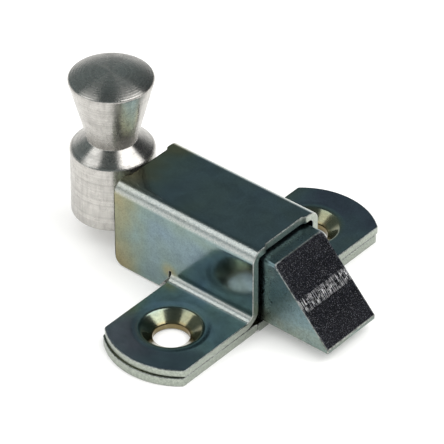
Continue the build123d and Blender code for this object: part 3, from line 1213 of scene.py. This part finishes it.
@dataclass
class LatchBolt:
    """The bolt: a bar bevelled from above, bored from behind for the spring and tapped for the stem."""

    edge_radius: float = 0.5
    bevel_length: float = 10.2
    crest: float = 0.6
    tip_land: float = 0.7
    bore_radius: float = 4.1
    bore_depth: float = 10.0
    tap_radius: float = 2.05
    tap_depth: float = 7.5
    axis_height: float = STEM_HEIGHT
    lengthwise: tuple[int, int, int] = (16, 6, 22)
    underside: int = 6
    upright: int = 9

    def __post_init__(self) -> None:
        """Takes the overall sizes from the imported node."""
        low, high = node_box("latch_bolt")
        self.rear, self.tip = low[0], high[0]
        self.foot, self.top = low[2], high[2]
        self.side = high[1]

    def sections(self) -> np.ndarray:
        """Outlines across the bolt, from its rear end to its tip, each cut off by the bevel's plane.

        The plane falls in a straight line, and each height is the lower one of the outline's and the plane's.

        Returns:
            A grid with a row for each outline.
        """
        bevel_start = self.tip - self.bevel_length
        x = spans([self.rear, bevel_start, bevel_start + self.crest, self.tip], self.lengthwise)[:, None]
        slope = (self.top - self.foot - self.tip_land) / self.bevel_length
        ceiling = np.where(x > bevel_start, self.top - (x - bevel_start) * slope, self.top)
        shoulder = self.top - self.edge_radius
        base_y = np.linspace(0.0, self.side, self.underside + 1)[:-1]
        rise = np.linspace(0.0, 1.0, self.upright + 1)[:-1]
        curve = arc((self.side - self.edge_radius, shoulder), self.edge_radius, 0.0, 90.0, 3)
        top_y = np.linspace(self.side - self.edge_radius, 0.0, 7)[1:]
        flat = np.minimum(ceiling, shoulder)
        y = np.concatenate([base_y, np.full(rise.size, self.side), curve[:, 0], top_y])[None]
        z = np.concatenate(
            [
                np.full((x.size, base_y.size), self.foot),
                self.foot + (flat - self.foot) * rise[None],
                np.minimum(curve[:, 1][None], ceiling),
                np.minimum(np.full((x.size, top_y.size), self.top), ceiling),
            ],
            axis=1,
        )
        half = stack(x, y, z)
        other = half[:, -2::-1] * np.array([1.0, -1.0, 1.0])
        return np.concatenate([half, other], axis=1)

    def build(self) -> bpy.types.Object:
        """Makes the bolt, which rides with the sliding body.

        Returns:
            The new piece.
        """
        body = self.sections()
        mesh = GridMesh()
        start = self.lengthwise[0]
        left = self.underside + self.upright
        right = body.shape[1] - 1 - left
        mesh.add(body[: start + 1])
        mesh.add(body[start:, : left + 1])
        mesh.add(body[start:, left : right + 1], Zone.RUBBED)
        mesh.add(body[start:, right:])
        tip_middle = np.array([self.tip, 0.0, self.foot + self.tip_land / 2])
        mesh.bridge(body[-1], np.tile(tip_middle, (body.shape[1], 1)))
        turn = np.arctan2(body[0, :, 2] - self.axis_height, body[0, :, 1])
        bore_end = self.rear + self.bore_depth
        tap_end = bore_end + self.tap_depth
        hole = np.array(
            [
                [self.bore_radius, self.rear],
                [self.bore_radius, (self.rear + bore_end) / 2],
                [self.bore_radius, bore_end],
                [self.tap_radius, bore_end],
                [self.tap_radius, tap_end],
                [0.0, tap_end],
            ]
        )
        y, z, x = rings(hole, turn)
        inside = stack(x, y, z + self.axis_height)
        mesh.bridge(body[0], inside[0], steps=3)
        mesh.add(inside)
        finishes = [finish.make() for finish in (BOLT_ZINC, EDGE_ZINC, WORN_ZINC_AND_EDGE_HIGHLIGHT, RUBBED_ZINC_WITH_PAINTED_SHADE)]
        piece = mesh.build("bevelled_bolt", *finishes)
        lay_map(piece, FILM_MAP, lambda points: 0.1 + 0.35 * smooth_step(points[:, 2], 7.0, 3.0))
        soften_edges(piece, 0.15, Zone.WORN_AND_HIGHLIGHT, 40.0)
        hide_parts("latch_bolt")
        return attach(piece, "bolt")


@dataclass
class Knob:
    """The knob: a turned cylinder, a sloping shoulder, a flaring grip and a domed end."""

    body_length: float = 11.3
    shoulder_length: float = 1.7
    neck_radius: float = 3.8
    rim_round: float = 0.4
    rim_slope: float = 24.5
    edge_break: float = 0.18
    tap_radius: float = LatchBolt.tap_radius
    tap_depth: float = 9.0
    tap_height: float = STEM_HEIGHT
    ring_pitch: float = 0.42
    ring_depth: float = 0.01
    columns: int = 192
    tap_columns: int = 20

    def __post_init__(self) -> None:
        """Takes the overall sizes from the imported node."""
        low, high = node_box("knob")
        self.radius = (high[1] - low[1]) / 2
        self.middle = high[0] - self.radius
        self.foot, self.apex = low[2], high[2]

    def profile(self) -> tuple[np.ndarray, int, int]:
        """The turned outline from the middle of the foot to the middle of the dome.

        The rim is an arc that touches both the grip's cone and the dome. The dome falls with the cube of the
        radius, so that it steepens towards the rim, and it also loses a small cosine, the cutter's ripple.

        Returns:
            Radius and height of each ring, and the numbers of the first and last ring beside the tapped hole.
        """
        shoulder = self.foot + self.body_length
        neck = shoulder + self.shoulder_length
        small, soft = self.edge_break, self.rim_round
        slope = math.radians(self.rim_slope)
        edge = self.radius - soft + soft * math.sin(slope)
        fall = edge * math.tan(slope) / 3
        rim = self.apex - fall - soft * math.cos(slope)
        flare = math.degrees(math.atan((self.radius - self.neck_radius) / (rim - neck)))
        rim_arc = arc((self.radius - soft, rim), soft, -flare, 90.0 - self.rim_slope, 12)
        out = np.linspace(edge, 0.0, 97)[1:]
        ripple = self.ring_depth * (1 - np.cos((edge - out) * math.tau / self.ring_pitch)) / 2
        cap = np.stack([out, self.apex - fall * (out / edge) ** 3 - ripple], axis=-1)
        reach = self.tap_columns * math.pi * self.radius / self.columns
        tap = np.linspace(self.tap_height - reach, self.tap_height + reach, self.tap_columns + 1)
        lower = [
            np.array([[0.0, self.foot], [self.radius * 0.5, self.foot]]),
            line((self.radius * 0.5, self.foot), (self.radius - small, self.foot), 3),
            arc((self.radius - small, self.foot + small), small, -90.0, 0.0, 3)[1:],
            np.stack([np.full(tap.size, self.radius), tap], axis=-1),
        ]
        start = sum(len(part) for part in lower) - tap.size
        upper = [
            line((self.radius, tap[-1]), (self.radius, shoulder - small), 8),
            line((self.radius, shoulder - small), (self.radius - small, shoulder + small * 0.3), 2),
            line((self.radius - small, shoulder + small * 0.3), (self.neck_radius, neck), 10),
            line((self.neck_radius, neck), tuple(rim_arc[0]), 40),
            rim_arc[1:],
            cap,
        ]
        return np.concatenate([*lower, *upper]), start, start + tap.size - 1

    def build(self) -> bpy.types.Object:
        """Makes the knob, which rides with the sliding body.

        Returns:
            The new piece.
        """
        outline, first, last = self.profile()
        half = self.tap_columns // 2
        turn = np.linspace(0.0, math.tau, self.columns + 1) - half * math.tau / self.columns
        across, along, up = rings(outline, turn)
        body = stack(self.middle + across, along, up)
        mesh = GridMesh()
        mesh.add(body[: first + 1])
        mesh.add(body[first : last + 1, self.tap_columns :])
        mesh.add(body[last:])
        self.add_tapped_hole(mesh, body[first : last + 1, : self.tap_columns + 1])
        piece = mesh.build("turned_knob", KNOB_METAL.make())
        self.map_turning(piece.data)
        soften_edges(piece, 0.07)
        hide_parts("knob")
        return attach(piece, "bolt")

    def map_turning(self, mesh: bpy.types.Mesh) -> None:
        """Gives the knob the map that its highlights follow: height less radius across, and the turn along.

        Each face's turns are taken next to the turn of its first corner, so that no face spans the seam.

        Args:
            mesh: the knob's mesh.
        """
        points = np.empty(len(mesh.vertices) * 3)
        mesh.vertices.foreach_get("co", points)
        corners = np.empty(len(mesh.loops), dtype=np.int32)
        mesh.loops.foreach_get("vertex_index", corners)
        starts = np.empty(len(mesh.polygons), dtype=np.int32)
        mesh.polygons.foreach_get("loop_start", starts)
        place = points.reshape(-1, 3)[corners] / MM
        away = place[:, 0] - self.middle
        turn = np.arctan2(place[:, 1], away) / math.tau
        first = np.repeat(turn[starts], np.diff(np.append(starts, len(corners))))
        turn -= np.round(turn - first)
        along = (place[:, 2] - np.hypot(away, place[:, 1])) / self.radius
        turning = mesh.uv_layers.new(name=KNOB_METAL.turning_map)
        turning.uv.foreach_set("vector", np.stack([along, turn], axis=-1).astype(np.float32).ravel())

    def add_tapped_hole(self, mesh: GridMesh, patch: np.ndarray) -> None:
        """Adds the cylinder round the tapped hole, whose rows run from the patch's border to the hole and in.

        Each point is worked out on the flattened cylinder, as a turn and a height, and then wrapped round it.

        Args:
            mesh: the mesh that gets the hole.
            patch: the grid of points that the hole's surroundings replace.
        """
        rim = np.concatenate([patch[0, :-1], patch[:-1, -1], patch[-1, :0:-1], patch[::-1, 0]])
        flat_y = np.arctan2(rim[:, 1], rim[:, 0] - self.middle) * self.radius
        flat_z = rim[:, 2] - self.tap_height
        turn = np.arctan2(flat_z, flat_y)
        hole_y = np.arcsin(self.tap_radius * np.cos(turn) / self.radius) * self.radius
        hole_z = self.tap_radius * np.sin(turn)
        share = np.array([1.0, 0.66, 0.33, 0.0])[:, None]
        angle = (hole_y + share * (flat_y - hole_y)) / self.radius
        height = self.tap_height + hole_z + share * (flat_z - hole_z)
        face = stack(self.middle + self.radius * np.cos(angle), self.radius * np.sin(angle), height)
        end = self.middle + self.radius - self.tap_depth
        floor = stack(end, self.tap_radius * np.cos(turn), self.tap_height + hole_z)
        mesh.add(face)
        mesh.bridge(face[-1], floor)
        mesh.bridge(floor, np.tile([end, 0.0, self.tap_height], (len(floor), 1)))


@dataclass
class Stem:
    """The stem: a drawn rod with a thread at each end."""

    pitch: float = 0.7
    thread_depth: float = 0.36
    bolt_thread: float = 7.0
    knob_thread: float = 8.5
    runout: float = 0.5
    chamfer: float = 0.4
    columns: int = 48

    def __post_init__(self) -> None:
        """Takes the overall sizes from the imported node."""
        low, high = node_box("bolt_stem")
        self.rear, self.front = low[0], high[0]
        self.radius = (high[1] - low[1]) / 2
        self.height = (high[2] + low[2]) / 2

    def build(self) -> bpy.types.Object:
        """Makes the stem, which rides with the sliding body.

        The radius loses a triangle wave of the distance along the stem in pitches less the turn, so that the
        wave winds round as a thread, and fades out where each thread ends.

        Returns:
            The new piece.
        """
        plain = (self.rear + self.knob_thread - self.pitch, self.front - self.bolt_thread + self.pitch)
        stops = [self.rear, self.rear + self.chamfer, *plain, self.front - self.chamfer, self.front]
        x = spans(stops, [4, 90, 20, 74, 4])[:, None]
        turn = np.linspace(0.0, math.tau, self.columns + 1)[None]
        wave = np.abs(((x / self.pitch - turn / math.tau) % 1.0) * 2.0 - 1.0)
        at_knob = 1 - smooth_step(x, plain[0] - self.runout, plain[0])
        threaded = at_knob + smooth_step(x, plain[1], plain[1] + self.runout)
        from_end = np.minimum(x - self.rear, self.front - x)
        body = np.minimum(self.radius, self.radius - self.chamfer + from_end)
        radius = np.minimum(body, self.radius - self.thread_depth * threaded * wave)
        grid = stack(x, radius * np.cos(turn), self.height + radius * np.sin(turn))
        mesh = GridMesh()
        mesh.add(grid)
        for ring, end in ((grid[0], self.rear), (grid[-1], self.front)):
            mesh.bridge(ring, np.tile([end, 0.0, self.height], (self.columns + 1, 1)))
        piece = mesh.build("threaded_stem", STEM_STEEL.make())
        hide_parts("bolt_stem")
        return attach(piece, "bolt")


@dataclass
class Spring:
    """The compression spring between the tab and the bottom of the bolt's bore."""

    wire: float = 0.7
    turns: int = 10
    travel: float = 12.0
    steps_a_turn: int = 40
    sides: int = 14

    def __post_init__(self) -> None:
        """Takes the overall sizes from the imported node."""
        low, high = node_box("spring")
        self.rear, self.front = low[0], high[0]
        self.radius = (high[1] - low[1] - self.wire) / 2
        self.height = (high[2] + low[2]) / 2

    def build(self) -> bpy.types.Object:
        """Makes the spring, which stays with the housing.

        The wire's middle is a helix, and round it lies a circle in the plane of the helix's normal, which
        points to the axis, and its binormal.

        Returns:
            The new piece.
        """
        share = np.linspace(0.0, 1.0, self.turns * self.steps_a_turn + 1)[:, None]
        turn = share * self.turns * math.tau
        length = self.front - self.rear - self.wire
        along = self.rear + self.wire / 2 + share * length
        middle = stack(along, self.radius * np.sin(turn), -self.radius * np.cos(turn))
        inward = stack(np.zeros_like(turn), -np.sin(turn), np.cos(turn))
        rise = length / (self.turns * math.tau)
        tangent = stack(np.full_like(turn, rise), self.radius * np.cos(turn), self.radius * np.sin(turn))
        tangent /= np.linalg.norm(tangent, axis=-1, keepdims=True)
        binormal = np.cross(tangent, inward)
        around = np.linspace(0.0, math.tau, self.sides + 1)[None, :, None]
        tube = middle + self.wire / 2 * (np.cos(around) * inward + np.sin(around) * binormal)
        tube[..., 2] += self.height
        middle[..., 2] += self.height
        mesh = GridMesh()
        mesh.add(tube)
        for row in (0, -1):
            mesh.bridge(tube[row], np.tile(middle[row], (self.sides + 1, 1)))
        piece = mesh.build("coiled_spring", SPRING_STEEL.make())
        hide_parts("spring")
        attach(piece, "housing")
        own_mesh(piece)
        return piece


@dataclass(frozen=True)
class Lamp:
    """A soft rectangular lamp that shines at the middle of the object."""

    name: str
    place: tuple[float, float, float]
    size: tuple[float, float]
    power: float

    def hang(self) -> None:
        """Makes the lamp, turns it to the object and lays its first side as nearly along X as it can."""
        light = bpy.data.lights.new(self.name, "AREA")
        light.shape = "RECTANGLE"
        light.size, light.size_y = self.size[0] * MM, self.size[1] * MM
        light.energy = self.power
        holder = bpy.data.objects.new(self.name, light)
        bpy.context.scene.collection.objects.link(holder)
        holder.location = Vector(self.place) * MM
        away = holder.location.normalized()
        across = Vector((0.0, 1.0, 0.0)).cross(away).normalized()
        holder.rotation_mode = "QUATERNION"
        holder.rotation_quaternion = Matrix((across, away.cross(across), away)).transposed().to_quaternion()


@dataclass(frozen=True)
class Studio:
    """A pale floor and white room, with a dark canopy overhead that shows in polished metal alone."""

    floor_reach: float = 3000.0
    floor_colour: str = "#f0f0ee"
    floor_glow: float = 0.16
    canopy_radius: float = 1500.0
    canopy_foot: float = 9.0
    canopy_fade: float = 0.16
    canopy_shade: str = "#778283"
    canopy_dark: str = "#1c1c20"
    zenith_shade: float = 0.5
    dark_side: tuple[float, float] = (0.72, 0.69)
    lamps: tuple[Lamp, ...] = (
        Lamp("key_lamp", (443.0, 269.0, 866.0), (560.0, 760.0), 4.4),
        Lamp("left_lamp", (-420.0, -400.0, 810.0), (480.0, 620.0), 1.55),
        Lamp("low_lamp", (-510.0, -780.0, 330.0), (480.0, 330.0), 0.25),
    )

    def lay_floor(self) -> None:
        """Lays the floor, which glows a little where metal or the camera sees it and still takes a shadow."""
        reach = np.array([-self.floor_reach, self.floor_reach])
        mesh = GridMesh()
        mesh.add(stack(reach[None], reach[:, None], np.zeros((1, 1)))[:, ::-1])
        floor = mesh.build("pale_floor")
        colours = {"Base Color": linear(self.floor_colour), "Emission Color": WHITE}
        paint = Coat("painted_floor", {**colours, "Roughness": 0.9})
        rays = paint.node("LightPath").outputs
        seen = rays["Is Camera Ray"]
        for ray in ("Is Glossy Ray", "Is Transmission Ray"):
            seen = paint.node("Math", {0: seen, 1: rays[ray]}, operation="MAXIMUM")
        glow = paint.node("Math", {0: seen, 1: self.floor_glow}, operation="MULTIPLY")
        paint.shade("Emission Strength", glow)
        floor.data.materials.append(paint.material)

    def hang_canopy(self) -> None:
        """Hangs the canopy: a sphere's upper cap, radius times the cosines and sines of both angles."""
        turn = np.radians(np.linspace(0.0, 360.0, 97))[None]
        rise = np.radians(np.linspace(self.canopy_foot, 90.0, 49))[:, None]
        across = self.canopy_radius * np.cos(rise)
        mesh = GridMesh()
        mesh.add(stack(across * np.cos(turn), across * np.sin(turn), self.canopy_radius * np.sin(rise)))
        canopy = mesh.build("dark_canopy")
        # The canopy's glow is a painted reflection: glossy rays alone see it, dark overhead and towards the
        # back right, fading to white at its foot.
        material = bpy.data.materials.new("painted_reflection_glow")
        reflection_glow = Shading(material)
        place = reflection_glow.node("TexCoord").outputs["Object"]
        unit = reflection_glow.node("VectorMath", {0: place}, operation="NORMALIZE")
        side = reflection_glow.node("VectorMath", {0: unit, 1: (*self.dark_side, 0.0)}, operation="DOT_PRODUCT")
        stops = [(0.1, self.canopy_shade), (0.7, self.canopy_dark)]
        shade = reflection_glow.node("ValToRGB", {"Fac": side.outputs["Value"]}, stops)
        height = reflection_glow.node("SeparateXYZ", {"Vector": unit}).outputs["Z"]
        zenith = reflection_glow.node("ValToRGB", {"Fac": height}, [(0.65, 1.0), (0.95, self.zenith_shade)])
        foot = math.sin(math.radians(self.canopy_foot))
        fade = reflection_glow.node("ValToRGB", {"Fac": height}, [(foot, 1.0), (foot + self.canopy_fade, 0.0)])
        layers = {AMOUNT: fade, UNDER: reflection_glow.combined(Blend.MULTIPLY, shade, zenith), OVER: WHITE}
        tone = reflection_glow.node("Mix", layers, data_type="RGBA").outputs[MIXED]
        glow = reflection_glow.node("Emission", {"Color": tone, "Strength": 1.0})
        reflection_glow.node("OutputMaterial", {"Surface": glow})
        canopy.data.materials.append(material)
        for ray in ("camera", "diffuse", "transmission", "volume_scatter", "shadow"):
            setattr(canopy, f"visible_{ray}", False)

    def paint_room(self) -> None:
        """Makes the world outside plain white."""
        world = bpy.data.worlds.new("white_room")
        sky = Shading(world)
        light = sky.node("Background", {"Color": WHITE, "Strength": 1.0})
        sky.node("OutputWorld", {"Surface": light})
        bpy.context.scene.world = world

    def build(self) -> None:
        """Builds the whole studio."""
        bpy.context.scene.view_settings.view_transform = "Standard"
        self.lay_floor()
        self.hang_canopy()
        self.paint_room()
        for lamp in self.lamps:
            lamp.hang()


@dataclass(frozen=True)
class Camera:
    """The camera at the photograph's viewing angle: above and in front, from beyond the near ear."""

    azimuth: float = 40.183
    elevation: float = 37.281
    target: tuple[float, float, float] = (-6.636, 3.351, 7.4286)
    distance: float = 548.996
    focal_length: float = 3679.427
    image_width: float = 444.0

    def place(self) -> None:
        """Makes the camera, the scene's own; its focal length is in pixels of the image's width."""
        turn, rise = math.radians(self.azimuth), math.radians(self.elevation)
        back = Vector((math.sin(turn) * math.cos(rise), -math.cos(turn) * math.cos(rise), math.sin(rise)))
        camera = bpy.data.cameras.new("product_camera")
        camera.sensor_width = 36.0
        camera.lens = self.focal_length / self.image_width * camera.sensor_width
        camera.clip_start, camera.clip_end = 0.01, 100.0
        holder = bpy.data.objects.new("product_camera", camera)
        bpy.context.scene.collection.objects.link(holder)
        holder.location = (Vector(self.target) + back * self.distance) * MM
        holder.rotation_mode = "QUATERNION"
        holder.rotation_quaternion = (-back).to_track_quat("-Z", "Y")
        bpy.context.scene.camera = holder


def main() -> None:
    """Builds each piece in order and reports it."""
    logging.basicConfig(level=logging.INFO, format="%(message)s")
    for maker in (Cover(), BasePlate(), LatchBolt(), Stem(), Spring(), Knob()):
        piece = maker.build()
        log.info("%s rides with %s", piece.name, piece.parent.name)
    Studio().build()
    Camera().place()


if __name__ == "__main__":
    main()
